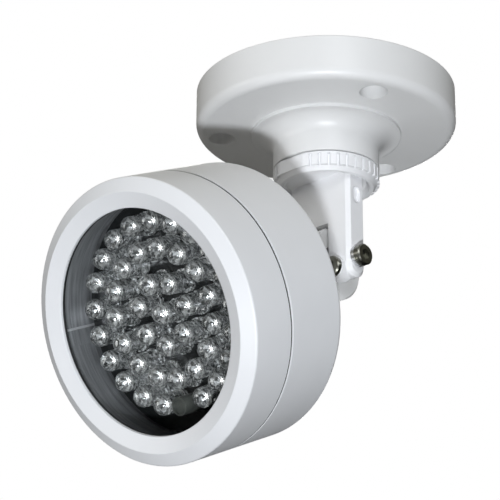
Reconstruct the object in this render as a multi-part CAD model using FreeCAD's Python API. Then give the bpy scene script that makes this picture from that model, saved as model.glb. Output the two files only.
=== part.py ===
"""Ceiling-mounted infrared illuminator on a bracket that pans and tilts.

Frame: millimetres, +Z up. The origin is the centre of the flange's back face, which lies on the
ceiling, so the whole lamp hangs below Z = 0. The lamp head looks towards -Y.
"""
import FreeCAD, Part
import math
import os
from FreeCAD import Placement, Rotation, Vector

# How far a cutting shape runs past what it cuts, and how deep a joined shape reaches in
PAST = 1.0
ROOT = 0.5

# Base flange, with its raised ring and collar
BASE_DIA = 68.0
BASE_DEPTH = 11.2
BASE_WALL = 2.5
BASE_FLOOR = 3.2
BASE_EDGE_RADIUS = 2.4
BASE_DOME = 0.4
RAISED_RING_DIA = 39.2
RAISED_RING_STEP = 0.9
COVE_DIA = 37.6
COVE_HEIGHT = 4.0
COVE_BULGE = 1.5
COVE_BULGE_AT = 1.2
COLLAR_DIA = 27.6
COLLAR_DROP = 21.8
COLLAR_WALL = 3.0
SHELF_DROP = 15.0
SHELF_THICKNESS = 3.0

# Ceiling screws
CEILING_HOLE_CIRCLE = 55.0
CEILING_HOLE_COUNT = 3
CEILING_HOLE_PHASE = 98.0
CEILING_HOLE_DIA = 4.4
CEILING_BORE_DIA = 7.0
CEILING_BORE_DEPTH = 4.2
CEILING_POST_DIA = 10.6

# Pan joint
HUB_DIA = 18.0
HUB_FIT = 0.05
HUB_END_GAP = 0.2
HUB_CHAMFER = 0.4
THRUST_THICKNESS = 0.4
THRUST_DIA = 25.2
PAN_BOLT_DIA = 5.0
PAN_BOLT_LENGTH = 10.0
PAN_HEAD_FLATS = 8.0
PAN_HEAD_HEIGHT = 3.5
PAN_HEAD_BEVEL = 0.7
PAN_WASHER_DIA = 12.0
PAN_WASHER_THICKNESS = 0.8
PAN_WASHER_SPLIT = 0.8
PAN_WASHER_SPLIT_TURN = 20.0
BLIND_END_GAP = 0.4
RUNNING_FIT = 0.05
THREAD_FIT = 0.02

# Toothed ring of the yoke
TOOTH_COUNT = 36
TOOTH_DEPTH = 0.7
TOOTH_GAP_WIDTH = 0.87
TOOTH_ROOT_WIDTH = 0.56
RING_DEPTH = 4.7
RING_BAND = 0.45
RING_CHAMFER = 1.1
RING_CHAMFER_RISE = 0.9
RING_RECESS = 1.5
RING_RECESS_SLOPE = 0.9
RING_WALL = 1.9
FACET_HALF_ANGLE = 16.5

# Stem and ears of the yoke
STEM_WIDTH = 20.6
STEM_THICKNESS = 6.6
STEM_CHAMFER = 1.0
SLOT_WIDTH = 6.8
SLOT_TOP_CLEARANCE = 0.7
EAR_BELOW_HINGE = 5.2
EAR_END_RADIUS = 3.1
POCKET_WIDTH = 2.6
POCKET_HEIGHT = 4.4
POCKET_DEPTH = 0.8
POCKET_BELOW_RING = 4.6

# Hinge
HINGE_DROP = 48.45
HINGE_SCREW_DIA = 3.0
HINGE_SCREW_LENGTH = 25.0
HINGE_HEAD_DIA = 5.5
HINGE_HEAD_HEIGHT = 1.8
HINGE_SOCKET_FLATS = 2.5
HINGE_SOCKET_DEPTH = 1.2
HINGE_WASHER_DIA = 5.6
HINGE_WASHER_THICKNESS = 1.0
HINGE_WASHER_SPLIT = 0.6
SCREW_END_CHAMFER = 0.3
HEAD_BEVEL = 0.3
NUT_FLATS = 5.5
NUT_HEIGHT = 2.4
FRICTION_DIA = 9.6
LOCK_SCREW_DIA = 2.5
LOCK_SCREW_LENGTH = 5.0
LOCK_HEAD_DIA = 5.5
LOCK_HEAD_HEIGHT = 1.3
LOCK_SOCKET_FLATS = 2.5
LOCK_SOCKET_DEPTH = 0.8
LOCK_BOSS_DIA = 5.7
LOCK_BOSS_HEIGHT = 1.2
LOCK_BELOW_HINGE = 3.05
LOCK_FROM_SLOT = 2.85
HOLE_CLEARANCE = 0.1

# Bracket between the hinge and the head
KNUCKLE_DIA = 18.7
KNUCKLE_WIDTH = 6.2
KNUCKLE_CHAMFER = 0.5
HINGE_TO_HEAD = 38.95
HEAD_AXIS_DROP = 2.61
HEAD_TILT = 24.2
NECK_WAIST = 13.6
NECK_WAIST_AT = 19.0
NECK_WAIST_RADIUS = 20.0
NECK_END = 18.0
NECK_RIB_THICKNESS = 4.0
NECK_RIB_WIDTH = 12.0
NECK_RIB_START = 13.0
NECK_RIB_TIP_RADIUS = 2.5
BRACKET_FLANGE_DIA = 24.0
BRACKET_FLANGE_THICKNESS = 3.2
BRACKET_FLANGE_RADIUS = 1.0
BRACKET_GASKET_THICKNESS = 0.8
BRACKET_SCREW_CIRCLE = 17.0
BRACKET_SCREW_COUNT = 3
BRACKET_SCREW_PHASE = 90.0
BRACKET_SCREW_DIA = 3.0
BRACKET_SCREW_LENGTH = 6.0
BRACKET_HEAD_DIA = 5.5
BRACKET_HEAD_HEIGHT = 2.0
BRACKET_HEAD_BEVEL = 0.5
BRACKET_HOLE_SKIN = 0.3
SCREW_SLOT_WIDTH = 0.8
SCREW_SLOT_DEPTH = 0.9

# Head: housing, bezel and window
HEAD_DIA = 67.0
HOUSING_DEPTH = 18.3
HOUSING_WALL = 2.6
HOUSING_BACK = 3.0
HOUSING_EDGE_RADIUS = 1.2
SEAM_GAP = 0.5
SEAM_RECESS = 0.7
BEZEL_DEPTH = 12.3
BEZEL_CHAMFER_DEPTH = 1.8
BEZEL_CHAMFER_RISE = 3.3
BEZEL_DISH = 1.25
BEZEL_EDGE_RADIUS = 0.5
BEZEL_SKIRT = 5.0
SKIRT_WALL = 1.5
RIM_WIDTH = 7.1
LIP_THICKNESS = 0.8
WINDOW_THICKNESS = 2.0
WINDOW_EDGE_GAP = 0.2
GASKET_THICKNESS = 0.7
SLEEVE_WALL = 1.0
SLEEVE_CHAMFER_DEPTH = 2.2
SLEEVE_CHAMFER_RISE = 0.65

# LED board
BOARD_DEPTH = 12.65
BOARD_THICKNESS = 1.6
BOARD_EDGE_GAP = 0.2
LED_DIA = 5.0
LED_FLANGE_DIA = 5.8
LED_FLANGE_HEIGHT = 1.0
LED_HEIGHT = 8.6
LED_INNER_RADIUS = 7.55
LED_INNER_COUNT = 7
LED_INNER_PHASE = 24.7
LED_MIDDLE_RADIUS = 15.3
LED_MIDDLE_COUNT = 15
LED_MIDDLE_PHASE = 10.0
LED_OUTER_RADIUS = 21.6
LED_OUTER_COUNT = 21
LED_OUTER_PHASE = -0.7
LED_CENTRE_RISE = 0.9
PHOTOCELL_PLACE = 16
PHOTOCELL_DIA = 4.4
PHOTOCELL_HEIGHT = 8.0
PHOTOCELL_WALL = 0.4
PHOTOCELL_FACE_DEPTH = 0.6

# Driver board behind it
STANDOFF_FLATS = 5.0
STANDOFF_LENGTH = 6.0
STANDOFF_INSET = 3.9
STANDOFF_COUNT = 3
STANDOFF_PHASE = 90.0
STUD_DIA = 2.5
POST_DIA = 6.5
DRIVER_EDGE_GAP = 2.0
HEADER_SIZE = (12.7, 2.5)
HEADER_ACROSS = -9.0
CAPACITOR_DIA = 5.0
CAPACITOR_LENGTH = 5.0
CAPACITOR_PLACE = (11.0, 5.0)
REGULATOR_PLACE = (-10.0, 6.0)
REGULATOR_SIZE = (6.5, 6.1, 2.3)
RESISTOR_DIA = 2.3
RESISTOR_LENGTH = 6.3
RESISTOR_COUNT = 8
RESISTOR_CIRCLE = 31.0
RESISTOR_PHASE = 10.0

# Cord inlet
GROMMET_FROM_WALL = 10.4
GROMMET_FLANGE_DIA = 10.0
GROMMET_NECK_DIA = 7.0
GROMMET_FLANGE_THICKNESS = 1.4
GROMMET_CHAMFER = 0.6
GROMMET_BORE = 3.8

X_AXIS = Vector(1, 0, 0)
Y_AXIS = Vector(0, 1, 0)
Z_AXIS = Vector(0, 0, 1)
ORIGIN = Vector(0, 0, 0)

# Heights and radii that several pieces share
COLLAR_RADIUS = COLLAR_DIA / 2
RING_TOP = -(COLLAR_DROP + THRUST_THICKNESS)
RING_BOTTOM = RING_TOP - RING_DEPTH
SHELF_BOTTOM = -(SHELF_DROP + SHELF_THICKNESS)
HINGE_Z = -HINGE_DROP
EAR_BOTTOM = HINGE_Z - EAR_BELOW_HINGE
SLOT_TOP = HINGE_Z + KNUCKLE_DIA / 2 + SLOT_TOP_CLEARANCE
LOCK_X = SLOT_WIDTH / 2 + LOCK_FROM_SLOT
LOCK_Z = HINGE_Z - LOCK_BELOW_HINGE
LOCK_FACE = -(STEM_THICKNESS / 2 + LOCK_BOSS_HEIGHT)
BOLT_SEAT = PAN_WASHER_THICKNESS - SHELF_DROP

# Places along the lamp's axis, forward of the hinge
BACK_FACE = HINGE_TO_HEAD
INNER_BACK = BACK_FACE + HOUSING_BACK
SEAM = BACK_FACE + HOUSING_DEPTH
BEZEL_FRONT = SEAM + BEZEL_DEPTH
LIP_FRONT = BEZEL_FRONT + BEZEL_CHAMFER_DEPTH - BEZEL_DISH
LIP_BACK = LIP_FRONT - LIP_THICKNESS
WINDOW_FRONT = LIP_BACK - GASKET_THICKNESS
WINDOW_BACK = WINDOW_FRONT - WINDOW_THICKNESS
BOARD_FRONT = BEZEL_FRONT - BOARD_DEPTH
BOARD_BACK = BOARD_FRONT - BOARD_THICKNESS
DRIVER_FRONT = BOARD_BACK - STANDOFF_LENGTH
DRIVER_BACK = DRIVER_FRONT - BOARD_THICKNESS
HEAD_RADIUS = HEAD_DIA / 2
HOUSING_BORE_RADIUS = HEAD_RADIUS - HOUSING_WALL
SKIRT_RADIUS = HOUSING_BORE_RADIUS - RUNNING_FIT
BEZEL_BORE_RADIUS = SKIRT_RADIUS - SKIRT_WALL
APERTURE_RADIUS = HEAD_RADIUS - RIM_WIDTH
DRIVER_RADIUS = HOUSING_BORE_RADIUS - DRIVER_EDGE_GAP
STANDOFF_CIRCLE = 2 * (DRIVER_RADIUS - STANDOFF_INSET)
GROMMET_BELOW_AXIS = HOUSING_BORE_RADIUS - GROMMET_FROM_WALL
BRACKET_FLANGE_BACK = BACK_FACE - BRACKET_GASKET_THICKNESS - BRACKET_FLANGE_THICKNESS

# LED rings from the middle out: radius, count and the angle of the first LED
LED_RINGS = (
    (0.0, 1, 0.0),
    (LED_INNER_RADIUS, LED_INNER_COUNT, LED_INNER_PHASE),
    (LED_MIDDLE_RADIUS, LED_MIDDLE_COUNT, LED_MIDDLE_PHASE),
    (LED_OUTER_RADIUS, LED_OUTER_COUNT, LED_OUTER_PHASE),
)


def cylinder(radius, low, high, x=0.0, y=0.0):
    """Upright cylinder between two heights."""
    return Part.makeCylinder(radius, high - low, Vector(x, y, low), Z_AXIS)


def tube(outer, inner, low, high, x=0.0, y=0.0):
    return cylinder(outer, low, high, x, y).cut(cylinder(inner, low - PAST, high + PAST, x, y))


def cross_cylinder(radius, start, end, y, z):
    """Cylinder along X between two X values."""
    return Part.makeCylinder(radius, end - start, Vector(start, y, z), X_AXIS)


def box(size, centre):
    corner = Vector(centre[0] - size[0] / 2, centre[1] - size[1] / 2, centre[2] - size[2] / 2)
    return Part.makeBox(size[0], size[1], size[2], corner)


def hexagon(flats, low, high, x=0.0, y=0.0):
    """Upright hexagonal bar."""
    corners = []
    for i in range(7):
        across, along = polar(flats / math.sqrt(3), 60 * i)
        corners.append(Vector(x + across, y + along, low))
    return Part.Face(Part.makePolygon(corners)).extrude(Vector(0, 0, high - low))


def polar(radius, degrees):
    return radius * math.cos(math.radians(degrees)), radius * math.sin(math.radians(degrees))


def around(circle, count, phase):
    """Centres of equally spaced holes on a circle of this diameter."""
    return [polar(circle / 2, phase + 360.0 * i / count) for i in range(count)]


def arc(start, middle, end):
    return Part.Arc(Vector(start[0], 0, start[1]), Vector(middle[0], 0, middle[1]),
                    Vector(end[0], 0, end[1])).toShape()


def line(start, end):
    return Part.makeLine(Vector(start[0], 0, start[1]), Vector(end[0], 0, end[1]))


def turned(points):
    """Solid of revolution about Z from (radius, height) points."""
    corners = [Vector(r, 0, z) for r, z in points]
    return Part.Face(Part.makePolygon(corners + corners[:1])).revolve(ORIGIN, Z_AXIS, 360)


def turned_edges(edges):
    return Part.Face(Part.Wire(edges)).revolve(ORIGIN, Z_AXIS, 360)


def placed(shape, rotation, offset):
    moved = shape.copy()
    moved.Placement = Placement(offset, rotation).multiply(moved.Placement)
    return moved


def socket_screw(dia, length, head_dia, head_height, flats, socket_depth):
    """Socket head screw on Z: the head stands above 0, the shank hangs below."""
    radius = dia / 2
    rim = head_dia / 2
    body = turned([(0, -length), (radius - SCREW_END_CHAMFER, -length), (radius, SCREW_END_CHAMFER - length),
                   (radius, 0), (rim, 0), (rim, head_height - HEAD_BEVEL), (rim - HEAD_BEVEL, head_height),
                   (0, head_height)])
    return body.cut(hexagon(flats, head_height - socket_depth, head_height + PAST))


def slotted_screw():
    """Cheese head screw on Z with a straight slot: the head stands above 0."""
    radius = BRACKET_SCREW_DIA / 2
    rim = BRACKET_HEAD_DIA / 2
    high = BRACKET_HEAD_HEIGHT
    screw = turned([(0, -BRACKET_SCREW_LENGTH), (radius, -BRACKET_SCREW_LENGTH), (radius, 0), (rim, 0),
                    (rim, high - BRACKET_HEAD_BEVEL), (rim - BRACKET_HEAD_BEVEL, high), (0, high)])
    slot = box((BRACKET_HEAD_DIA + PAST, SCREW_SLOT_WIDTH, 2 * SCREW_SLOT_DEPTH), (0, 0, high))
    return screw.cut(slot)


def in_head(shape):
    """Moves a piece from the lamp's own turning frame, Z forward and Y up, to its place."""
    forward = placed(shape, Rotation(X_AXIS, 90), Vector(0, 0, -HEAD_AXIS_DROP))
    return at_hinge(forward)


def at_hinge(shape):
    """Tilts a piece that is drawn level, with the hinge at the origin, and hangs it on the hinge."""
    return placed(shape, Rotation(X_AXIS, HEAD_TILT), Vector(0, 0, HINGE_Z))


# Base

def base_profile():
    """Half section of the flange: outside wall, rounded edge, raised ring, cove and collar."""
    outer = BASE_DIA / 2
    flat = outer - BASE_EDGE_RADIUS
    wall_end = BASE_EDGE_RADIUS - BASE_DEPTH
    lean = BASE_EDGE_RADIUS * math.sqrt(0.5)
    ring_root = -(BASE_DEPTH + BASE_DOME)
    ring_low = ring_root - RAISED_RING_STEP
    cove_low = ring_low - COVE_HEIGHT
    cove_middle = (COLLAR_RADIUS + COVE_BULGE, ring_low - COVE_BULGE_AT)
    bore = HUB_DIA / 2 + HUB_FIT
    pocket = COLLAR_RADIUS - COLLAR_WALL
    bolt = PAN_BOLT_DIA / 2 + HOLE_CLEARANCE
    return [
        line((pocket, 0), (outer, 0)),
        line((outer, 0), (outer, wall_end)),
        arc((outer, wall_end), (flat + lean, wall_end - lean), (flat, -BASE_DEPTH)),
        line((flat, -BASE_DEPTH), (RAISED_RING_DIA / 2, ring_root)),
        line((RAISED_RING_DIA / 2, ring_root), (RAISED_RING_DIA / 2, ring_low)),
        line((RAISED_RING_DIA / 2, ring_low), (COVE_DIA / 2, ring_low)),
        arc((COVE_DIA / 2, ring_low), cove_middle, (COLLAR_RADIUS, cove_low)),
        line((COLLAR_RADIUS, cove_low), (COLLAR_RADIUS, -COLLAR_DROP)),
        line((COLLAR_RADIUS, -COLLAR_DROP), (bore, -COLLAR_DROP)),
        line((bore, -COLLAR_DROP), (bore, SHELF_BOTTOM)),
        line((bore, SHELF_BOTTOM), (bolt, SHELF_BOTTOM)),
        line((bolt, SHELF_BOTTOM), (bolt, -SHELF_DROP)),
        line((bolt, -SHELF_DROP), (pocket, -SHELF_DROP)),
        line((pocket, -SHELF_DROP), (pocket, 0)),
    ]


def base_flange():
    """Flange, hollow behind around its middle, with a post for each ceiling screw."""
    body = turned_edges(base_profile())
    floor = BASE_FLOOR - BASE_DEPTH
    hollow = tube(BASE_DIA / 2 - BASE_WALL, COLLAR_RADIUS, floor, PAST)
    centres = around(CEILING_HOLE_CIRCLE, CEILING_HOLE_COUNT, CEILING_HOLE_PHASE)
    for x, y in centres:
        hollow = hollow.cut(cylinder(CEILING_POST_DIA / 2, floor - PAST, 2 * PAST, x, y))
    body = body.cut(hollow)
    low = -BASE_DEPTH - 2 * PAST
    for x, y in centres:
        body = body.cut(cylinder(CEILING_HOLE_DIA / 2, low, PAST, x, y))
        body = body.cut(cylinder(CEILING_BORE_DIA / 2, low, CEILING_BORE_DEPTH - BASE_DEPTH, x, y))
    return body.removeSplitter()


# Pan joint

def pan_bolt():
    top = BOLT_SEAT + PAN_HEAD_HEIGHT
    corner = PAN_HEAD_FLATS / math.sqrt(3)
    crown = turned([(0, BOLT_SEAT), (corner, BOLT_SEAT), (corner, top - PAN_HEAD_BEVEL),
                    (corner - 2 * PAN_HEAD_BEVEL, top), (0, top)])
    head = hexagon(PAN_HEAD_FLATS, BOLT_SEAT, top).common(crown)
    shank = cylinder(PAN_BOLT_DIA / 2, BOLT_SEAT - PAN_BOLT_LENGTH, BOLT_SEAT)
    return head.fuse(shank).removeSplitter()


def pan_spring_washer():
    """Split spring washer, drawn flat as when tightened."""
    ring = tube(PAN_WASHER_DIA / 2, PAN_BOLT_DIA / 2 + HOLE_CLEARANCE, -SHELF_DROP, BOLT_SEAT)
    split = box((PAN_WASHER_DIA, PAN_WASHER_SPLIT, SHELF_THICKNESS), (PAN_WASHER_DIA / 2, 0, -SHELF_DROP))
    return ring.cut(placed(split, Rotation(Z_AXIS, PAN_WASHER_SPLIT_TURN), ORIGIN))


def thrust_washer():
    return tube(THRUST_DIA / 2, HUB_DIA / 2 + 2 * HOLE_CLEARANCE, RING_TOP, -COLLAR_DROP)


# Yoke

def tooth_gap(angle):
    """One groove between two teeth, open at the ring's lower side, with moulding draft."""
    mouth = TOOTH_GAP_WIDTH / 2
    root = TOOTH_ROOT_WIDTH / 2
    outer = COLLAR_RADIUS + PAST
    inner = COLLAR_RADIUS - TOOTH_DEPTH
    low = RING_BOTTOM - PAST
    corners = [Vector(inner, -root, low), Vector(outer, -mouth, low), Vector(outer, mouth, low),
               Vector(inner, root, low), Vector(inner, -root, low)]
    groove = Part.Face(Part.makePolygon(corners)).extrude(Vector(0, 0, RING_TOP - RING_BAND - low))
    return placed(groove, Rotation(Z_AXIS, angle), ORIGIN)


def toothed_ring():
    """Ring with grooved edge, a flat facet to the front and a recess below."""
    root = COLLAR_RADIUS - TOOTH_DEPTH
    rim = root - RING_CHAMFER_RISE
    floor = RING_BOTTOM + RING_RECESS
    ring = turned([(0, RING_TOP), (COLLAR_RADIUS, RING_TOP), (COLLAR_RADIUS, RING_BOTTOM + RING_CHAMFER),
                   (root, RING_BOTTOM + RING_CHAMFER), (rim, RING_BOTTOM),
                   (rim - RING_WALL + RING_RECESS_SLOPE, RING_BOTTOM), (rim - RING_WALL, floor), (0, floor)])
    pitch = 360.0 / TOOTH_COUNT
    from_front = [pitch * (i + 0.5) for i in range(TOOTH_COUNT)]
    grooves = [tooth_gap(turn - 90) for turn in from_front
               if FACET_HALF_ANGLE < turn < 360 - FACET_HALF_ANGLE]
    ring = ring.cut(Part.makeCompound(grooves))
    facet = COLLAR_RADIUS * math.cos(math.radians(FACET_HALF_ANGLE))
    middle = (RING_TOP + RING_BOTTOM) / 2
    front = box((COLLAR_DIA, COLLAR_DIA, 2 * RING_DEPTH), (0, -facet - COLLAR_RADIUS, middle))
    return ring.cut(front)


def hub():
    """Spigot that turns in the base's bore."""
    top = SHELF_BOTTOM - HUB_END_GAP
    radius = HUB_DIA / 2
    return turned([(0, RING_TOP - ROOT), (radius, RING_TOP - ROOT), (radius, top - HUB_CHAMFER),
                   (radius - HUB_CHAMFER, top), (0, top)])


def stem():
    """Flat stem from the ring down to the two ears, which end rounded from front to back."""
    top = RING_BOTTOM + RING_RECESS + ROOT
    middle = (top + EAR_BOTTOM) / 2
    body = box((STEM_WIDTH, STEM_THICKNESS, top - EAR_BOTTOM), (0, 0, middle))
    low = [e for e in body.Edges if e.BoundBox.XLength > PAST and e.BoundBox.ZMax < middle]
    body = body.makeFillet(EAR_END_RADIUS, low)
    outer = [e for e in body.Edges if e.BoundBox.XLength < ROOT and e.BoundBox.ZMin < top - ROOT]
    body = body.makeChamfer(STEM_CHAMFER, outer)
    slot_height = SLOT_TOP - EAR_BOTTOM + PAST
    slot = box((SLOT_WIDTH, STEM_THICKNESS + PAST, slot_height), (0, 0, SLOT_TOP - slot_height / 2))
    return body.cut(slot)


def along_y(radius, start, end, x, z):
    """Cylinder along Y between two Y values."""
    return Part.makeCylinder(radius, end - start, Vector(x, start, z), Y_AXIS)


def side_pocket():
    """Shallow oblong pocket high on the right side of the stem."""
    centre = RING_BOTTOM - POCKET_BELOW_RING
    reach = (POCKET_HEIGHT - POCKET_WIDTH) / 2
    start = STEM_WIDTH / 2 - POCKET_DEPTH
    ends = [cross_cylinder(POCKET_WIDTH / 2, start, STEM_WIDTH, 0, centre + s * reach) for s in (-1, 1)]
    middle = box((STEM_WIDTH, POCKET_WIDTH, 2 * reach), (start + STEM_WIDTH / 2, 0, centre))
    return ends[0].fuse([ends[1], middle])


def yoke():
    """Ring, hub, stem and the lock screw's boss, with holes for the bolt and the hinge's screws."""
    boss = along_y(LOCK_BOSS_DIA / 2, LOCK_FACE, 0, LOCK_X, LOCK_Z)
    body = toothed_ring().fuse([hub(), stem(), boss])
    bolt_hole = cylinder(PAN_BOLT_DIA / 2 + THREAD_FIT, BOLT_SEAT - PAN_BOLT_LENGTH - BLIND_END_GAP, 0)
    hinge_hole = cross_cylinder(HINGE_SCREW_DIA / 2 + RUNNING_FIT, -STEM_WIDTH, STEM_WIDTH, 0, HINGE_Z)
    lock_end = LOCK_FACE + LOCK_SCREW_LENGTH + BLIND_END_GAP
    lock_hole = along_y(LOCK_SCREW_DIA / 2 + THREAD_FIT, LOCK_FACE - PAST, lock_end, LOCK_X, LOCK_Z)
    return body.cut([bolt_hole, hinge_hole, lock_hole, side_pocket()]).removeSplitter()


# Hinge hardware

def hinge_screw():
    screw = socket_screw(HINGE_SCREW_DIA, HINGE_SCREW_LENGTH, HINGE_HEAD_DIA, HINGE_HEAD_HEIGHT,
                         HINGE_SOCKET_FLATS, HINGE_SOCKET_DEPTH)
    return placed(screw, Rotation(Y_AXIS, 90), Vector(STEM_WIDTH / 2 + HINGE_WASHER_THICKNESS, 0, HINGE_Z))


def hinge_washer():
    """Split spring washer under the hinge screw's head, drawn flat."""
    ring = tube(HINGE_WASHER_DIA / 2, HINGE_SCREW_DIA / 2 + HOLE_CLEARANCE, 0, HINGE_WASHER_THICKNESS)
    split = box((HINGE_WASHER_DIA, HINGE_WASHER_SPLIT, 2 * HINGE_WASHER_DIA), (HINGE_WASHER_DIA / 2, 0, 0))
    return placed(ring.cut(split), Rotation(Y_AXIS, 90), Vector(STEM_WIDTH / 2, 0, HINGE_Z))


def hinge_nut():
    """Nut on the outside of the left ear."""
    hole = cylinder(HINGE_SCREW_DIA / 2 + THREAD_FIT, -PAST, NUT_HEIGHT + PAST)
    nut = hexagon(NUT_FLATS, 0, NUT_HEIGHT).cut(hole)
    return placed(nut, Rotation(Y_AXIS, 90), Vector(-STEM_WIDTH / 2 - NUT_HEIGHT, 0, HINGE_Z))


def lock_screw():
    screw = socket_screw(LOCK_SCREW_DIA, LOCK_SCREW_LENGTH, LOCK_HEAD_DIA, LOCK_HEAD_HEIGHT,
                         LOCK_SOCKET_FLATS, LOCK_SOCKET_DEPTH)
    return placed(screw, Rotation(X_AXIS, 90), Vector(LOCK_X, LOCK_FACE, LOCK_Z))


def friction_washers():
    """One thin washer on each side of the knuckle."""
    thickness = (SLOT_WIDTH - KNUCKLE_WIDTH) / 2
    ring = tube(FRICTION_DIA / 2, HINGE_SCREW_DIA / 2 + RUNNING_FIT, 0, thickness)
    return Part.makeCompound([placed(ring, Rotation(Y_AXIS, 90), Vector(x, 0, HINGE_Z))
                              for x in (KNUCKLE_WIDTH / 2, -SLOT_WIDTH / 2)])


# Head bracket

def neck():
    """Web from the knuckle to the flange, narrowest at its waist."""
    end = BRACKET_FLANGE_BACK + BRACKET_FLANGE_THICKNESS / 2
    half = KNUCKLE_DIA / 2
    drop = HEAD_AXIS_DROP
    outline = [(0, half), (NECK_WAIST_AT, NECK_WAIST / 2 - drop), (end, NECK_END / 2 - drop),
               (end, -NECK_END / 2 - drop), (NECK_WAIST_AT, -NECK_WAIST / 2 - drop), (0, -half)]
    corners = [Vector(-KNUCKLE_WIDTH / 2, -forward, high) for forward, high in outline]
    web = Part.Face(Part.makePolygon(corners + corners[:1])).extrude(Vector(KNUCKLE_WIDTH, 0, 0))
    waist = [e for e in web.Edges if e.BoundBox.YLength < ROOT and e.BoundBox.ZLength < ROOT
             and abs(e.BoundBox.Center.y + NECK_WAIST_AT) < ROOT]
    return web.makeFillet(NECK_WAIST_RADIUS, waist)


def neck_rib():
    """Level rib across the web, for stiffness."""
    end = BRACKET_FLANGE_BACK + BRACKET_FLANGE_THICKNESS / 2
    rib = box((NECK_RIB_WIDTH, end - NECK_RIB_START, NECK_RIB_THICKNESS),
              (0, -(end + NECK_RIB_START) / 2, -HEAD_AXIS_DROP))
    tips = [e for e in rib.Edges if e.BoundBox.ZLength > ROOT and e.BoundBox.YMin > -end + ROOT]
    return rib.makeFillet(NECK_RIB_TIP_RADIUS, tips)


def knuckle():
    half_width = KNUCKLE_WIDTH / 2
    half = KNUCKLE_DIA / 2
    edge = KNUCKLE_CHAMFER
    disc = turned([(0, -half_width), (half - edge, -half_width), (half, edge - half_width),
                   (half, half_width - edge), (half - edge, half_width), (0, half_width)])
    return placed(disc, Rotation(Y_AXIS, 90), ORIGIN)


def bracket_flange():
    """Round flange at the head's back, in the lamp's own turning frame."""
    front = BACK_FACE - BRACKET_GASKET_THICKNESS
    flange = cylinder(BRACKET_FLANGE_DIA / 2, BRACKET_FLANGE_BACK, front)
    rear_edge = [e for e in flange.Edges if e.BoundBox.ZMax < BRACKET_FLANGE_BACK + ROOT]
    return flange.makeFillet(BRACKET_FLANGE_RADIUS, rear_edge)


def bracket_screw_places():
    return around(BRACKET_SCREW_CIRCLE, BRACKET_SCREW_COUNT, BRACKET_SCREW_PHASE)


def head_bracket():
    to_flange = Rotation(X_AXIS, 90)
    drop = Vector(0, 0, -HEAD_AXIS_DROP)
    body = knuckle().fuse([neck(), neck_rib(), placed(bracket_flange(), to_flange, drop)])
    low = BRACKET_FLANGE_BACK + BRACKET_HOLE_SKIN
    for x, y in bracket_screw_places():
        hole = cylinder(BRACKET_SCREW_DIA / 2 + THREAD_FIT, low, BACK_FACE, x, y)
        body = body.cut(placed(hole, to_flange, drop))
    bore = cross_cylinder(HINGE_SCREW_DIA / 2 + RUNNING_FIT, -KNUCKLE_WIDTH, KNUCKLE_WIDTH, 0, 0)
    return at_hinge(body.cut(bore).removeSplitter())


def bracket_gasket():
    low = BACK_FACE - BRACKET_GASKET_THICKNESS
    ring = cylinder(BRACKET_FLANGE_DIA / 2, low, BACK_FACE)
    for x, y in bracket_screw_places():
        ring = ring.cut(cylinder(BRACKET_SCREW_DIA / 2 + HOLE_CLEARANCE, low - PAST, BACK_FACE + PAST, x, y))
    return in_head(ring)


def bracket_screws():
    """Screws from inside the housing into the bracket's flange."""
    screw = slotted_screw()
    return Part.makeCompound([in_head(placed(screw, Rotation(), Vector(x, y, INNER_BACK)))
                              for x, y in bracket_screw_places()])


# Head shells

def standoff_places():
    return around(STANDOFF_CIRCLE, STANDOFF_COUNT, STANDOFF_PHASE)


def rear_housing():
    """Cup with posts for the driver board, and holes for the bracket's screws and the cord."""
    seam = SEAM - SEAM_GAP / 2
    shell = turned([(0, BACK_FACE), (HEAD_RADIUS, BACK_FACE), (HEAD_RADIUS, seam),
                    (HOUSING_BORE_RADIUS, seam), (HOUSING_BORE_RADIUS, INNER_BACK), (0, INNER_BACK)])
    edges = [e for e in shell.Edges
             if e.BoundBox.ZMax < BACK_FACE + ROOT and e.BoundBox.XLength > HEAD_RADIUS]
    shell = shell.makeFillet(HOUSING_EDGE_RADIUS, edges)
    for x, y in standoff_places():
        shell = shell.fuse(cylinder(POST_DIA / 2, INNER_BACK - ROOT, DRIVER_BACK, x, y))
        shell = shell.cut(cylinder(STUD_DIA / 2 + THREAD_FIT, INNER_BACK, DRIVER_BACK + PAST, x, y))
    low = BACK_FACE - PAST
    high = INNER_BACK + PAST
    for x, y in bracket_screw_places():
        shell = shell.cut(cylinder(BRACKET_SCREW_DIA / 2 + HOLE_CLEARANCE, low, high, x, y))
    shell = shell.cut(cylinder(GROMMET_NECK_DIA / 2, low, high, 0, -GROMMET_BELOW_AXIS))
    return in_head(shell.removeSplitter())


def front_bezel():
    """Chamfered front ring with a dished face, an inward lip and the skirt that enters the housing."""
    face_radius = HEAD_RADIUS - BEZEL_CHAMFER_RISE
    face = BEZEL_FRONT + BEZEL_CHAMFER_DEPTH
    seam = SEAM + SEAM_GAP / 2
    skirt_end = SEAM - BEZEL_SKIRT
    body = turned([(HEAD_RADIUS, seam), (HEAD_RADIUS, BEZEL_FRONT), (face_radius, face),
                   (APERTURE_RADIUS, LIP_FRONT), (APERTURE_RADIUS, LIP_BACK), (BEZEL_BORE_RADIUS, LIP_BACK),
                   (BEZEL_BORE_RADIUS, skirt_end), (SKIRT_RADIUS, skirt_end), (SKIRT_RADIUS, seam)])
    outer_corner = [e for e in body.Edges if e.BoundBox.ZMin > seam + ROOT and e.BoundBox.ZLength < ROOT
                    and e.BoundBox.XLength > 2 * face_radius + ROOT]
    return in_head(body.makeFillet(BEZEL_EDGE_RADIUS, outer_corner))


def housing_seal():
    """Rubber ring in the seam, set back from the outside."""
    outer = HEAD_RADIUS - SEAM_RECESS
    return in_head(tube(outer, SKIRT_RADIUS + RUNNING_FIT, SEAM - SEAM_GAP / 2, SEAM + SEAM_GAP / 2))


def window():
    return in_head(cylinder(BEZEL_BORE_RADIUS - WINDOW_EDGE_GAP, WINDOW_BACK, WINDOW_FRONT))


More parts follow.
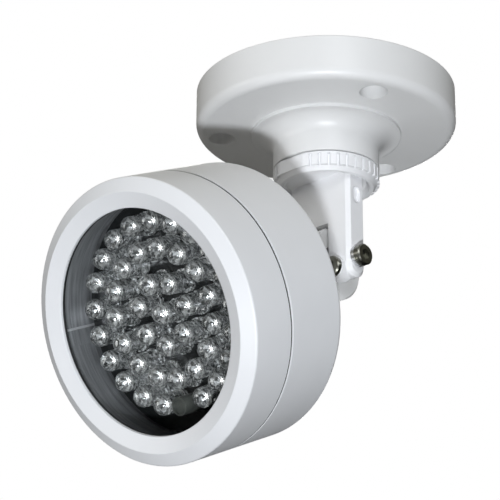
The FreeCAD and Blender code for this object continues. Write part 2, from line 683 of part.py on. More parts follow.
def window_gasket():
    return in_head(tube(BEZEL_BORE_RADIUS - WINDOW_EDGE_GAP, APERTURE_RADIUS, WINDOW_FRONT, LIP_BACK))


def sleeve():
    """Ring screwed into the bezel's bore. It holds the window on its gasket and the LED board's rim."""
    outer = BEZEL_BORE_RADIUS - THREAD_FIT
    inner = outer - SLEEVE_WALL
    return in_head(turned([(inner, WINDOW_BACK), (outer, WINDOW_BACK), (outer, BOARD_FRONT),
                           (inner + SLEEVE_CHAMFER_RISE, BOARD_FRONT),
                           (inner, BOARD_FRONT + SLEEVE_CHAMFER_DEPTH)]))


# LED board

def led_places():
    """Centres of all the LEDs, ring by ring. The photocell takes one place of the outer ring."""
    places = []
    for radius, count, phase in LED_RINGS:
        for x, y in around(2 * radius, count, phase):
            places.append((-x, y + LED_CENTRE_RISE))
    places.remove(photocell_place())
    return places


def photocell_place():
    x, y = around(2 * LED_OUTER_RADIUS, LED_OUTER_COUNT, LED_OUTER_PHASE)[PHOTOCELL_PLACE]
    return -x, y + LED_CENTRE_RISE


def led_board():
    return in_head(cylinder(BEZEL_BORE_RADIUS - BOARD_EDGE_GAP, BOARD_BACK, BOARD_FRONT))


def led_body():
    """Round clear body with its flange and domed end."""
    radius = LED_DIA / 2
    shoulder = LED_HEIGHT - radius
    lean = radius * math.sqrt(0.5)
    return turned_edges([
        line((0, 0), (LED_FLANGE_DIA / 2, 0)),
        line((LED_FLANGE_DIA / 2, 0), (LED_FLANGE_DIA / 2, LED_FLANGE_HEIGHT)),
        line((LED_FLANGE_DIA / 2, LED_FLANGE_HEIGHT), (radius, LED_FLANGE_HEIGHT)),
        line((radius, LED_FLANGE_HEIGHT), (radius, shoulder)),
        arc((radius, shoulder), (lean, shoulder + lean), (0, LED_HEIGHT)),
        line((0, LED_HEIGHT), (0, 0)),
    ])


def leds():
    body = led_body()
    return Part.makeCompound([in_head(placed(body, Rotation(), Vector(x, y, BOARD_FRONT)))
                              for x, y in led_places()])


def photocell():
    """Light sensor in a dark tube, its face just below the rim."""
    x, y = photocell_place()
    top = BOARD_FRONT + PHOTOCELL_HEIGHT
    body = cylinder(PHOTOCELL_DIA / 2, BOARD_FRONT, top, x, y)
    mouth = cylinder(PHOTOCELL_DIA / 2 - PHOTOCELL_WALL, top - PHOTOCELL_FACE_DEPTH, top + PAST, x, y)
    return in_head(body.cut(mouth))


# Driver board and what it carries

def driver_board():
    board = cylinder(DRIVER_RADIUS, DRIVER_BACK, DRIVER_FRONT)
    for x, y in standoff_places():
        hole = cylinder(STUD_DIA / 2 + HOLE_CLEARANCE, DRIVER_BACK - PAST, DRIVER_FRONT + PAST, x, y)
        board = board.cut(hole)
    return in_head(board)


def standoffs():
    """Hexagonal pillars between the boards, each with a stud through the driver board into its post."""
    pillars = []
    for x, y in standoff_places():
        pillar = hexagon(STANDOFF_FLATS, DRIVER_FRONT, BOARD_BACK, x, y)
        stud = cylinder(STUD_DIA / 2, INNER_BACK, DRIVER_FRONT, x, y)
        pillars.append(in_head(pillar.fuse(stud).removeSplitter()))
    return Part.makeCompound(pillars)


def capacitor():
    x, y = CAPACITOR_PLACE
    return in_head(cylinder(CAPACITOR_DIA / 2, DRIVER_FRONT, DRIVER_FRONT + CAPACITOR_LENGTH, x, y))


def regulator():
    x, y = REGULATOR_PLACE
    return in_head(box(REGULATOR_SIZE, (x, y, DRIVER_FRONT + REGULATOR_SIZE[2] / 2)))


def link_header():
    """Pin header that joins the two boards."""
    length, width = HEADER_SIZE
    middle = DRIVER_FRONT + STANDOFF_LENGTH / 2
    return in_head(box((length, width, STANDOFF_LENGTH), (0, HEADER_ACROSS, middle)))


def string_resistors():
    """Axial resistors on the back of the LED board, one for each LED string."""
    body = cross_cylinder(RESISTOR_DIA / 2, -RESISTOR_LENGTH / 2, RESISTOR_LENGTH / 2, 0, 0)
    resistors = []
    for i in range(RESISTOR_COUNT):
        angle = 360.0 * i / RESISTOR_COUNT + RESISTOR_PHASE
        x, y = polar(RESISTOR_CIRCLE / 2, angle)
        seat = Vector(x, y, BOARD_BACK - RESISTOR_DIA / 2)
        resistors.append(in_head(placed(body, Rotation(Z_AXIS, angle + 90), seat)))
    return Part.makeCompound(resistors)


def cable_grommet():
    """Rubber inlet for the supply cord in the housing's back wall."""
    neck_radius = GROMMET_NECK_DIA / 2
    flange_radius = GROMMET_FLANGE_DIA / 2
    outside = BACK_FACE - GROMMET_FLANGE_THICKNESS
    inside = INNER_BACK + GROMMET_FLANGE_THICKNESS
    body = turned([(GROMMET_BORE / 2, outside), (flange_radius - GROMMET_CHAMFER, outside),
                   (flange_radius, outside + GROMMET_CHAMFER), (flange_radius, BACK_FACE),
                   (neck_radius, BACK_FACE), (neck_radius, INNER_BACK), (flange_radius, INNER_BACK),
                   (flange_radius, inside), (GROMMET_BORE / 2, inside)])
    return in_head(placed(body, Rotation(), Vector(0, -GROMMET_BELOW_AXIS, 0)))


NODES = {
    "base_flange": base_flange,
    "pan_bolt": pan_bolt,
    "pan_spring_washer": pan_spring_washer,
    "thrust_washer": thrust_washer,
    "yoke": yoke,
    "hinge_screw": hinge_screw,
    "hinge_washer": hinge_washer,
    "hinge_nut": hinge_nut,
    "lock_screw": lock_screw,
    "friction_washers": friction_washers,
    "head_bracket": head_bracket,
    "bracket_gasket": bracket_gasket,
    "bracket_screws": bracket_screws,
    "rear_housing": rear_housing,
    "front_bezel": front_bezel,
    "housing_seal": housing_seal,
    "window": window,
    "window_gasket": window_gasket,
    "sleeve": sleeve,
    "led_board": led_board,
    "leds": leds,
    "photocell": photocell,
    "driver_board": driver_board,
    "standoffs": standoffs,
    "capacitor": capacitor,
    "regulator": regulator,
    "link_header": link_header,
    "string_resistors": string_resistors,
    "cable_grommet": cable_grommet,
}

os.makedirs("parts", exist_ok=True)
for name, make in NODES.items():
    make().exportStep("parts/" + name + ".step")
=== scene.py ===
"""Finish and fine detail of a ceiling-mounted infrared illuminator.

All places are in the model's own frame, and in metres unless a comment says mm: +Z up, the flange's
back on the ceiling at Z = 0, the lamp head looking towards -Y and down.
"""
import math

import bmesh
import bpy
from mathutils import Matrix, Vector


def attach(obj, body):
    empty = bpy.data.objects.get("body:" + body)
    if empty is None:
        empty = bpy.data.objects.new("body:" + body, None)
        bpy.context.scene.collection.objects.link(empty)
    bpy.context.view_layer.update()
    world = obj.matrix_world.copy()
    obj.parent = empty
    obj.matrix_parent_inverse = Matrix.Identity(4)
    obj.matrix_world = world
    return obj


MM = 0.001

# Camera, at the photograph's viewing angle
IMAGE_WIDTH = 500
FOCAL_PIXELS = 1931.07
SENSOR_WIDTH = 36.0
NEAREST_SEEN = 10.0 * MM
CAMERA_PLACE = Vector((308.43, -341.50, -224.89)) * MM
CAMERA_RIGHT = Vector((0.71416, 0.69996, 0.00522))
CAMERA_UP = Vector((0.25284, -0.26491, 0.93053))
CAMERA_FORWARD = Vector((-0.65272, 0.66323, 0.36617))

# Lamps of the studio: name, place, the point it shines at, width, watts and colour
LAMPS = (
    ("key", (0.627, -0.670, -0.658), (0, -0.03, -0.04), 0.062, 9.6, (0.93, 0.96, 1.0)),
    ("right", (0.75, -0.50, 0.30), (0, -0.04, -0.05), 0.5, 2.6, (0.94, 0.965, 1.0)),
    ("fill", (-0.50, -0.80, 0.0), (0, -0.04, -0.05), 0.5, 1.5, (1.0, 0.985, 0.95)),
    ("back", (-0.70, 0.80, 0.40), (0, -0.02, -0.05), 0.5, 5.5, (1.0, 0.985, 0.95)),
    ("top", (-0.1, -0.25, 0.8), (0, -0.03, -0.05), 0.6, 1.1, (1.0, 0.99, 0.97)),
)

# Soft sky: its strength straight above and from the horizon down, and its colour
SKY_ABOVE = 0.35
SKY_BELOW = 0.0
SKY_COLOUR = (1.0, 0.97, 0.84, 1)
WHITE = (1, 1, 1, 1)

# Floor: its width, its height and how much lighter it looks than the lamps alone make it
FLOOR_WIDTH = 1.2
FLOOR_HEIGHT = -1.3
FLOOR_LIFT = 0.45

# The head: its hinge, its tilt at rest, how far its axis runs under the hinge, and how far in front
# of the hinge the LED board's face is
HINGE = Vector((0, 0, -48.45)) * MM
HEAD_TILT = math.radians(24.2)
AXIS_DROP = 2.61 * MM
BOARD_FRONT = 56.9 * MM

# LED rings, middle first: radius in mm, count, and the first LED's angle in degrees from -X up
LED_RINGS = ((0.0, 1, 0.0), (7.55, 7, 24.7), (15.3, 15, 10.0), (21.6, 21, -0.7))
# Height of the rings' centre over the lamp's axis, in mm, and the place in the outer ring that the
# photocell takes instead of an LED
LED_CENTRE_RISE = 0.9
PHOTOCELL_PLACE = 16

# Parts inside each clear LED, in mm, with heights in front of the board: the cup's radii and
# heights, the star-shaped bond pad, and each lead's low end, high end, half width, half depth and
# centre
CUP_PROFILE = ((0.0, 4.5), (0.95, 4.5), (1.5, 5.35), (1.4, 5.38), (0.55, 5.0), (0.0, 5.0))
CUP_SIDES = 14
STAR_HEIGHT = 5.4
STAR_RISE = 0.05
STAR_OUTER = 0.70
STAR_INNER = 0.15
STAR_POINTS = 7
LEADS = (
    (-0.2, 4.7, 0.5, 0.28, (0, 0)),
    (-0.2, 5.3, 0.3, 0.28, (1.45, 0)),
    (1.2, 3.4, 0.75, 0.22, (0.1, 0)),
)
# Angles in radians: from one LED to the next, and of the star's first point
LED_TWIST = 1.1
STAR_START = 0.3

# Grain of each kind of finish: noise scale of its colour and of its bumps, and the bumps' depth
PAINT_GRAIN = (60.0, 2200.0, 0.03 * MM)
METAL_GRAIN = (300.0, 4000.0, 0.02 * MM)
PLASTIC_GRAIN = (250.0, 3000.0, 0.02 * MM)
GRAIN_STRENGTH = 0.3

# Paint: roughness, strength of its highlights, and the radius its edges seem rounded by
PAINT_ROUGHNESS = 0.42
PAINT_HIGHLIGHT = 0.6
PAINT_EDGE = 0.35 * MM
EDGE_SAMPLES = 6

# Clear epoxy: noise scales of its ripples, of its marbling of painted reflection and of its silvery
# patches, the ripples' depth and strength, the share of that painted reflection in the silver
# beside a real glossy mirror, and the least and most silver in the body
RIPPLE_SCALE = 1100.0
REFLECTION_MARBLE_SCALE = 650.0
PATCH_SCALE = 1500.0
RIPPLE_DEPTH = 0.4 * MM
RIPPLE_STRENGTH = 0.5
PAINTED_REFLECTION_SHARE = 0.55
REFLECTION_LEAST = 0.25
REFLECTION_MOST = 0.65

# Silvery rings at the foot of the clear bodies, partly a glossy mirror and partly painted
# reflection: where each starts in front of the board, as a share of FOOT_REACH, and how silvery it
# is
FOOT_REACH = 10.0 * MM
FOOT_REFLECTION_RINGS = ((0.0, 0.6), (0.02, 0.1), (0.09, 0.7), (0.11, 0.0))

# Window: noise scale of its reflection, and the least and most of it
WINDOW_SCALE = 90.0
WINDOW_GLOSS_LEAST = 0.005
WINDOW_GLOSS_MOST = 0.02

# Bond pads, which glow as a painted glint: noise scale of their glow, its share where it is
# weakest, and their roughness
GLOW_SCALE = 900.0
GLOW_WEAKEST = 0.9
GLOW_ROUGHNESS = 0.3

# Groove between bezel and housing: its middle in front of the LED board and half its width
GROOVE_MIDDLE = 0.60 * MM
GROOVE_HALF_WIDTH = 0.29 * MM
GROOVE_COLOUR = (0.02, 0.02, 0.02, 1)

# Painted highlight, a bright line along the sleeve: its angle round the lamp's axis and half its
# width
HIGHLIGHT_LINE_ANGLE = math.radians(171.6)
HIGHLIGHT_LINE_HALF_ANGLE = math.radians(0.6)
HIGHLIGHT_LINE_COLOUR = (0.9, 0.91, 0.92, 1)

# Streaks round the sleeve: noise steps for a radian round it and for a metre along it
STREAKS_ROUND = 2.5
STREAKS_ALONG = 1400.0

# Painted shade on the sleeve: heights over the lamp's axis between which it darkens the sleeve's
# colour, and the share of the colour left at the foot
SLEEVE_SHADE_BELOW = -26.0 * MM
SLEEVE_UNSHADED_ABOVE = -13.0 * MM
SLEEVE_FOOT_SHADE_TONE = 0.10


def add_node(tree, kind, inputs=None, **settings):
    """New shader node; each input takes a value, or the output of another node that feeds it."""
    node = tree.nodes.new("ShaderNode" + kind)
    for name, value in settings.items():
        setattr(node, name, value)
    for name, value in (inputs or {}).items():
        if isinstance(value, bpy.types.NodeSocket):
            tree.links.new(value, node.inputs[name])
        else:
            node.inputs[name].default_value = value
    return node


def calculate(tree, operation, *values):
    return add_node(tree, "Math", dict(enumerate(values)), operation=operation).outputs[0]


def dot_product(tree, vector, direction):
    node = add_node(tree, "VectorMath", {0: vector, 1: direction}, operation="DOT_PRODUCT")
    return node.outputs["Value"]


def map_range(tree, value, from_low, from_high, to_low, to_high):
    node = add_node(tree, "MapRange", {
        "Value": value, "From Min": from_low, "From Max": from_high,
        "To Min": to_low, "To Max": to_high})
    return node.outputs["Result"]


def mix(tree, data_type, factor, first, second):
    node = add_node(tree, "Mix", {"Factor": factor, "A": first, "B": second}, data_type=data_type)
    return node.outputs["Result"]


def mix_shader(tree, factor, first, second):
    return add_node(tree, "MixShader", {"Fac": factor, 1: first, 2: second}).outputs["Shader"]


def bsdf(tree, kind, inputs):
    return add_node(tree, "Bsdf" + kind, inputs).outputs["BSDF"]


def object_place(tree):
    """Place in the piece's own frame, so that a pattern moves with it."""
    return add_node(tree, "TexCoord").outputs["Object"]


def noise(tree, place, scale, detail, distortion=0.0):
    node = add_node(tree, "TexNoise", {
        "Vector": place, "Scale": scale, "Detail": detail, "Distortion": distortion})
    return node.outputs["Fac"]


def tone_ramp(tree, factor, low, high, dark, light):
    """Colour that is dark up to low and light from high."""
    ramp = add_node(tree, "ValToRGB", {"Fac": factor})
    for stop, position, colour in zip(ramp.color_ramp.elements, (low, high), (dark, light)):
        stop.position = position
        stop.color = (*colour, 1)
    return ramp.outputs["Color"]


def make_camera():
    camera = bpy.data.objects.new("camera", bpy.data.cameras.new("camera"))
    camera.data.sensor_width = SENSOR_WIDTH
    camera.data.sensor_fit = "HORIZONTAL"
    camera.data.lens = SENSOR_WIDTH * FOCAL_PIXELS / IMAGE_WIDTH
    camera.data.clip_start = NEAREST_SEEN
    axes = (CAMERA_RIGHT, CAMERA_UP, -CAMERA_FORWARD)
    turn = Matrix([axis.normalized() for axis in axes]).transposed()
    camera.matrix_world = Matrix.Translation(CAMERA_PLACE) @ turn.to_4x4()
    bpy.context.scene.collection.objects.link(camera)
    bpy.context.scene.camera = camera


def area_light(name, place, target, width, watts, colour):
    light = bpy.data.lights.new(name, "AREA")
    light.shape = "DISK"
    light.size = width
    light.energy = watts
    light.color = colour
    lamp = bpy.data.objects.new(name, light)
    lamp.location = place
    lamp.rotation_euler = (Vector(target) - Vector(place)).to_track_quat("-Z", "Y").to_euler()
    bpy.context.scene.collection.objects.link(lamp)


def make_world():
    """White as the camera sees it; on the object a soft sky, brightest straight above."""
    world = bpy.data.worlds.new("studio")
    world.use_nodes = True
    tree = world.node_tree
    direction = add_node(tree, "TexCoord").outputs["Generated"]
    rise = add_node(tree, "SeparateXYZ", {"Vector": direction}).outputs["Z"]
    sky = map_range(tree, rise, 0.0, 1.0, SKY_BELOW, SKY_ABOVE)
    path = add_node(tree, "LightPath").outputs
    seen = calculate(tree, "MAXIMUM", path["Is Camera Ray"], path["Is Transmission Ray"])
    background = tree.nodes["Background"]
    tree.links.new(mix(tree, "FLOAT", seen, sky, 1.0), background.inputs["Strength"])
    tree.links.new(mix(tree, "RGBA", seen, SKY_COLOUR, WHITE), background.inputs["Color"])
    bpy.context.scene.world = world


def make_floor():
    bpy.ops.mesh.primitive_plane_add(size=FLOOR_WIDTH, location=(0, 0, FLOOR_HEIGHT))
    floor = bpy.context.object
    floor.name = "floor"
    white = plain_material("floor_white", (0.85, 0.85, 0.85), roughness=0.9)
    tree = white.node_tree
    seen = add_node(tree, "LightPath").outputs["Is Camera Ray"]
    lift = calculate(tree, "MULTIPLY", seen, FLOOR_LIFT)
    shader_of(white).inputs["Emission Color"].default_value = WHITE
    tree.links.new(lift, shader_of(white).inputs["Emission Strength"])
    floor.data.materials.append(white)


def head_matrix():
    """From the lamp's own turning frame, Z forward and Y up, to the model's frame."""
    level = Matrix.Translation((0, 0, -AXIS_DROP)) @ Matrix.Rotation(math.radians(90), 4, "X")
    return Matrix.Translation(HINGE) @ Matrix.Rotation(HEAD_TILT, 4, "X") @ level


def lamp_axis():
    """The way the lamp looks at rest, in the model's frame."""
    return (head_matrix().to_3x3() @ Vector((0, 0, 1))).normalized()


def forward_distance(tree):
    """Distance in front of the LED board, along the lamp's axis, for any point of the head."""
    axis = lamp_axis()
    board = (head_matrix() @ Vector((0, 0, BOARD_FRONT))).dot(axis)
    return calculate(tree, "SUBTRACT", dot_product(tree, object_place(tree), axis), board)


def shader_of(material):
    return material.node_tree.nodes["Principled BSDF"]


def plain_material(name, colour, roughness, metallic=0.0):
    material = bpy.data.materials.new(name)
    material.use_nodes = True
    shader = shader_of(material)
    shader.inputs["Base Color"].default_value = (*colour, 1)
    shader.inputs["Roughness"].default_value = roughness
    shader.inputs["Metallic"].default_value = metallic
    return material


def bare_material(name):
    """Material without its usual shader, for a tree of its own."""
    material = bpy.data.materials.new(name)
    material.use_nodes = True
    material.node_tree.nodes.remove(shader_of(material))
    return material


def mottled(material, scale, dark, light):
    """Base colour that drifts between two near colours."""
    tree = material.node_tree
    drift = noise(tree, object_place(tree), scale, detail=3.0)
    colour = tone_ramp(tree, drift, low=0.3, high=0.7, dark=dark, light=light)
    tree.links.new(colour, shader_of(material).inputs["Base Color"])


def bumped(material, scale, depth, edge=0.0):
    """Fine unevenness, and edges that catch the light as if rounded by the radius edge."""
    tree = material.node_tree
    grain = noise(tree, object_place(tree), scale, detail=2.0)
    inputs = {"Height": grain, "Distance": depth, "Strength": GRAIN_STRENGTH}
    if edge > 0.0:
        bevel = add_node(tree, "Bevel", {"Radius": edge}, samples=EDGE_SAMPLES)
        inputs["Normal"] = bevel.outputs["Normal"]
    bump = add_node(tree, "Bump", inputs)
    tree.links.new(bump.outputs["Normal"], shader_of(material).inputs["Normal"])


def grained(name, dark, light, roughness, grain, metallic=0.0, edge=0.0):
    """Material whose colour drifts between dark and light over fine bumps."""
    colour_scale, bump_scale, bump_depth = grain
    material = plain_material(name, light, roughness, metallic)
    mottled(material, colour_scale, dark, light)
    bumped(material, bump_scale, bump_depth, edge)
    return material


def paint(name, dark, light):
    material = grained(name, dark, light, PAINT_ROUGHNESS, PAINT_GRAIN, edge=PAINT_EDGE)
    shader_of(material).inputs["Specular IOR Level"].default_value = PAINT_HIGHLIGHT
    return material


def metal(name, dark, light, roughness):
    return grained(name, dark, light, roughness, METAL_GRAIN, metallic=1.0)


def plastic(name, dark, light, roughness):
    return grained(name, dark, light, roughness, PLASTIC_GRAIN)


# Emission on a part that is no lamp: painted light
def glow(name, colour, strength):
    material = plain_material(name, colour, GLOW_ROUGHNESS)
    shader = shader_of(material)
    shader.inputs["Emission Color"].default_value = (*colour, 1)
    shader.inputs["Emission Strength"].default_value = strength
    mottled(material, GLOW_SCALE, tuple(GLOW_WEAKEST * c for c in colour), colour)
    return material


def parted(material):
    """Adds the dark line in the groove between bezel and housing."""
    tree = material.node_tree
    colour = shader_of(material).inputs["Base Color"]
    groove = calculate(tree, "COMPARE", forward_distance(tree), GROOVE_MIDDLE, GROOVE_HALF_WIDTH)
    lined = mix(tree, "RGBA", groove, colour.links[0].from_socket, GROOVE_COLOUR)
    tree.links.new(lined, colour)
    return material


def sleeve_metal():
    """Grey turned tube with fine streaks round it, one bright line painted along it as a highlight,
    and painted shade darkening it towards its foot.
    """
    material = plain_material("dark_sleeve", (0.2, 0.2, 0.2), roughness=0.42, metallic=0.75)
    tree = material.node_tree
    across = Vector((1, 0, 0))
    upward = lamp_axis().cross(across)
    middle = head_matrix().translation
    offset = add_node(tree, "VectorMath", {0: object_place(tree), 1: middle}, operation="SUBTRACT")
    side, rise = [dot_product(tree, offset.outputs["Vector"], way) for way in (across, upward)]
    angle = calculate(tree, "ARCTAN2", rise, side)

    unrolled = add_node(tree, "CombineXYZ", {
        "X": calculate(tree, "MULTIPLY", angle, STREAKS_ROUND),
        "Y": calculate(tree, "MULTIPLY", forward_distance(tree), STREAKS_ALONG)})
    streaks = noise(tree, unrolled.outputs["Vector"], scale=1.0, detail=4.0)
    grey = tone_ramp(tree, streaks, low=0.3, high=0.72,
                     dark=(0.31, 0.32, 0.33), light=(0.58, 0.595, 0.61))
    # Painted highlight: a bright line along the sleeve at one angle round it
    highlight_line = calculate(tree, "COMPARE", angle, HIGHLIGHT_LINE_ANGLE, HIGHLIGHT_LINE_HALF_ANGLE)
    with_highlight_line = mix(tree, "RGBA", highlight_line, grey, HIGHLIGHT_LINE_COLOUR)

    # Painted shade: the sleeve's colour darkens towards its lower side
    shade = map_range(tree, rise, SLEEVE_SHADE_BELOW, SLEEVE_UNSHADED_ABOVE, SLEEVE_FOOT_SHADE_TONE, 1.0)
    shaded = add_node(tree, "VectorMath", {0: with_highlight_line, "Scale": shade}, operation="SCALE")
    tree.links.new(shaded.outputs["Vector"], shader_of(material).inputs["Base Color"])
    return material


def led_resin():
    """Clear epoxy: glass in patches, and between them silver: a glossy mirror mixed with a painted
    reflection, a diffuse marbling of dark and light.
    """
    material = bare_material("clear_epoxy")
    tree = material.node_tree
    place = object_place(tree)
    ripple = add_node(tree, "Bump", {
        "Height": noise(tree, place, RIPPLE_SCALE, detail=1.0),
        "Distance": RIPPLE_DEPTH, "Strength": RIPPLE_STRENGTH})
    mirror = bsdf(tree, "Glossy", {
        "Color": (0.80, 0.82, 0.82, 1), "Roughness": 0.16, "Normal": ripple.outputs["Normal"]})
    # Painted reflection: a diffuse marbling of dark and light for what the epoxy mirrors
    marble = noise(tree, place, REFLECTION_MARBLE_SCALE, detail=3.0, distortion=2.5)
    reflection_tones = tone_ramp(tree, marble, low=0.43, high=0.60,
                      dark=(0.03, 0.032, 0.03), light=(0.92, 0.94, 0.92))
    painted_reflection = bsdf(tree, "Diffuse", {"Color": reflection_tones})
    silver = mix_shader(tree, PAINTED_REFLECTION_SHARE, mirror, painted_reflection)
    glass = bsdf(tree, "Glass", {"Color": (0.98, 0.985, 0.98, 1), "Roughness": 0.0, "IOR": 1.45})

    patches = noise(tree, place, PATCH_SCALE, detail=2.0)
    reflection_share = map_range(tree, patches, 0.40, 0.62, REFLECTION_LEAST, REFLECTION_MOST)
    # Rings at the foot raise the silver, partly painted reflection, into bright lines round each
    # body
    along = calculate(tree, "MULTIPLY", forward_distance(tree), 1.0 / FOOT_REACH)
    rings = add_node(tree, "ValToRGB", {"Fac": along})
    ramp = rings.color_ramp
    ramp.interpolation = "CONSTANT"
    for index, (position, value) in enumerate(FOOT_REFLECTION_RINGS):
        stop = ramp.elements[index] if index < 2 else ramp.elements.new(position)
        stop.position = position
        stop.color = (value, value, value, 1)
    reflection_share = calculate(tree, "MAXIMUM", reflection_share, rings.outputs["Color"])
    body = mix_shader(tree, reflection_share, glass, silver)

    # The lamps' light goes nearly all through, so that the parts inside are lit
    through = bsdf(tree, "Transparent", {"Color": (0.85, 0.85, 0.85, 1)})
    shadow = add_node(tree, "LightPath").outputs["Is Shadow Ray"]
    surface = mix_shader(tree, shadow, body, through)
    tree.links.new(surface, tree.nodes["Material Output"].inputs["Surface"])
    return material


def window_material():
    """Thin clear sheet: mostly see-through, with a faint reflection."""
    material = bare_material("clear_window")
    tree = material.node_tree
    gloss = bsdf(tree, "Glossy", {"Roughness": 0.05})
    through = bsdf(tree, "Transparent", {"Color": (0.98, 0.985, 0.99, 1)})
    drift = noise(tree, object_place(tree), WINDOW_SCALE, detail=2.0)
    gloss_share = map_range(tree, drift, 0.0, 1.0, WINDOW_GLOSS_LEAST, WINDOW_GLOSS_MOST)
    surface = mix_shader(tree, gloss_share, through, gloss)
    tree.links.new(surface, tree.nodes["Material Output"].inputs["Surface"])
    return material


def led_places():
    """Place of each LED on the board, across and up."""
    places = []
    for radius, count, phase in LED_RINGS:
        for i in range(count):
            if count == LED_RINGS[-1][1] and i == PHOTOCELL_PLACE:
                continue
            angle = math.radians(phase + 360.0 * i / count)
            across = -radius * math.cos(angle)
            up = radius * math.sin(angle) + LED_CENTRE_RISE
            places.append((across * MM, up * MM))
    return places


def add_point(mesh, matrix, x, y, z):
    """Vertex at a place given in mm in the frame of the matrix."""
    return mesh.verts.new(matrix @ (Vector((x, y, z)) * MM))


def add_lathe(mesh, matrix, profile, sides, slots):
    """Turns (radius, height) points about Z; the material slots repeat round it."""
    rings = []
    for radius, height in profile:
        ring = []
        for i in range(sides):
            angle = 2 * math.pi * i / sides
            x, y = radius * math.cos(angle), radius * math.sin(angle)
            ring.append(add_point(mesh, matrix, x, y, height))
        rings.append(ring)
    for low, high in zip(rings, rings[1:]):
        for i in range(sides):
            j = (i + 1) % sides
            face = mesh.faces.new((low[i], low[j], high[j], high[i]))
            face.material_index = slots[i % len(slots)]


def add_star(mesh, matrix, slot):
    """Flat star facing forward, a little raised in its middle: the bond pad on each chip, whose
    material glows as a painted glint.
    """
    middle = add_point(mesh, matrix, 0, 0, STAR_HEIGHT + STAR_RISE)
    rim = []
    for i in range(2 * STAR_POINTS):
        reach = STAR_OUTER if i % 2 == 0 else STAR_INNER
        angle = math.pi * i / STAR_POINTS + STAR_START
        x, y = reach * math.cos(angle), reach * math.sin(angle)
        rim.append(add_point(mesh, matrix, x, y, STAR_HEIGHT))
    for i in range(2 * STAR_POINTS):
        face = mesh.faces.new((middle, rim[i], rim[(i + 1) % (2 * STAR_POINTS)]))
        face.material_index = slot


def add_bar(mesh, matrix, low, high, half_x, half_y, centre, slot):
    """Square bar along Z from low to high."""
    corners = []
    for z in (low, high):
        for x, y in ((-half_x, -half_y), (half_x, -half_y), (half_x, half_y), (-half_x, half_y)):
            corners.append(add_point(mesh, matrix, centre[0] + x, centre[1] + y, z))
    faces = [corners[3::-1], corners[4:]]
    for i in range(4):
        j = (i + 1) % 4
        faces.append([corners[i], corners[j], corners[4 + j], corners[4 + i]])
    for loop in faces:
        mesh.faces.new(loop).material_index = slot


def new_piece(name, mesh, materials):
    data = bpy.data.meshes.new(name)
    mesh.to_mesh(data)
    mesh.free()
    piece = bpy.data.objects.new(name, data)
    for material in materials:
        data.materials.append(material)
    bpy.context.scene.collection.objects.link(piece)
    return piece


def led_insides():
    """Reflector cup, bond pad and leads inside each clear body."""
    materials = [
        metal("cup_silver", (0.32, 0.33, 0.33), (0.48, 0.49, 0.49), 0.42),
        metal("lead_frame", (0.6, 0.61, 0.62), (0.85, 0.85, 0.86), 0.25),
        # The bond pads glow though the LEDs are off: a painted glint
        glow("bond_pad_painted_glint", (1.0, 1.0, 1.0), 4.0),
        # Darker copy of the cup's silver for every other facet: painted shade for the dark sectors
        # seen in the cup
        metal("cup_painted_shade", (0.05, 0.052, 0.052), (0.10, 0.102, 0.10), 0.35),
    ]
    silver, lead, pad, shade = range(len(materials))
    mesh = bmesh.new()
    head = head_matrix()
    for index, (x, y) in enumerate(led_places()):
        turn = Matrix.Rotation(LED_TWIST * index, 4, "Z")
        here = head @ Matrix.Translation((x, y, BOARD_FRONT)) @ turn
        add_lathe(mesh, here, CUP_PROFILE, CUP_SIDES, (silver, shade))
        add_star(mesh, here, pad)
        for bar in LEADS:
            add_bar(mesh, here, *bar, lead)
    piece = new_piece("led_insides", mesh, materials)
    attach(piece, "head")


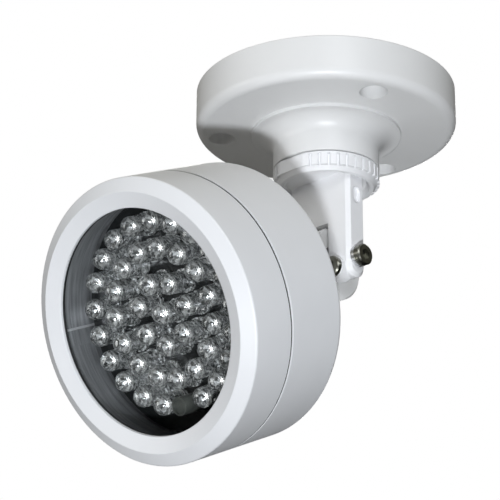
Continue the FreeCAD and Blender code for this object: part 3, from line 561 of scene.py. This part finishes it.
def finish_nodes(nodes):
    """Gives every CAD piece its finish."""
    white = paint("white_paint", (0.79, 0.792, 0.79), (0.82, 0.822, 0.82))
    head_white = parted(paint("head_paint", (0.79, 0.80, 0.82), (0.82, 0.83, 0.85)))
    # The yoke's paint is a lighter copy of the white: painted light, standing in for stronger light
    # on the yoke
    yoke_lit_white = paint("yoke_paint", (0.85, 0.855, 0.87), (0.88, 0.885, 0.90))
    sleeve = sleeve_metal()
    dark_lens = plastic("dark_lens", (0.03, 0.033, 0.03), (0.10, 0.107, 0.095), 0.3)
    can = metal("capacitor_can", (0.45, 0.46, 0.48), (0.6, 0.61, 0.63), 0.35)
    black_steel = metal("black_oxide", (0.18, 0.18, 0.155), (0.30, 0.30, 0.26), 0.28)
    zinc = metal("zinc", (0.55, 0.56, 0.57), (0.68, 0.69, 0.70), 0.3)
    rubber = plastic("black_rubber", (0.012, 0.012, 0.013), (0.025, 0.025, 0.027), 0.7)
    nylon = plastic("nylon", (0.10, 0.10, 0.105), (0.14, 0.14, 0.145), 0.5)
    board = plastic("black_mask", (0.006, 0.007, 0.007), (0.012, 0.013, 0.013), 0.25)
    green = plastic("green_mask", (0.01, 0.08, 0.03), (0.015, 0.11, 0.04), 0.3)
    window = window_material()
    epoxy = led_resin()
    brass = metal("brass", (0.62, 0.48, 0.22), (0.72, 0.57, 0.28), 0.3)
    tan = plastic("resistor_lacquer", (0.42, 0.32, 0.2), (0.5, 0.4, 0.26), 0.4)
    finishes = {
        white: ("base_flange", "head_bracket"),
        head_white: ("rear_housing", "front_bezel"),
        yoke_lit_white: ("yoke",),
        sleeve: ("sleeve",),
        dark_lens: ("photocell",),
        can: ("capacitor",),
        black_steel: ("hinge_screw", "lock_screw", "hinge_nut"),
        zinc: ("pan_bolt", "pan_spring_washer", "bracket_screws", "hinge_washer"),
        rubber: ("housing_seal", "bracket_gasket", "window_gasket", "cable_grommet",
                 "regulator", "link_header"),
        nylon: ("thrust_washer", "friction_washers"),
        board: ("led_board",),
        green: ("driver_board",),
        window: ("window",),
        epoxy: ("leds",),
        brass: ("standoffs",),
        tan: ("string_resistors",),
    }
    for material, names in finishes.items():
        for name in names:
            for slot in nodes[name].material_slots:
                slot.material = material


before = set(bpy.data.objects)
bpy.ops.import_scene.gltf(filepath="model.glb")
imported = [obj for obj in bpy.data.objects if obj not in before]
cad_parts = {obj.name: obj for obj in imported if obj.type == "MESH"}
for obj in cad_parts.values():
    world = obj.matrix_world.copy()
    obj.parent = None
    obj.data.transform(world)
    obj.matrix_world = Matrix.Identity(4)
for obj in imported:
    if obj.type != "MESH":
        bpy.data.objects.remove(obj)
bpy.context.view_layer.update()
bpy.context.scene.view_settings.view_transform = "Standard"
make_camera()
make_world()
make_floor()
for lamp in LAMPS:
    area_light(*lamp)
finish_nodes(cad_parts)
led_insides()
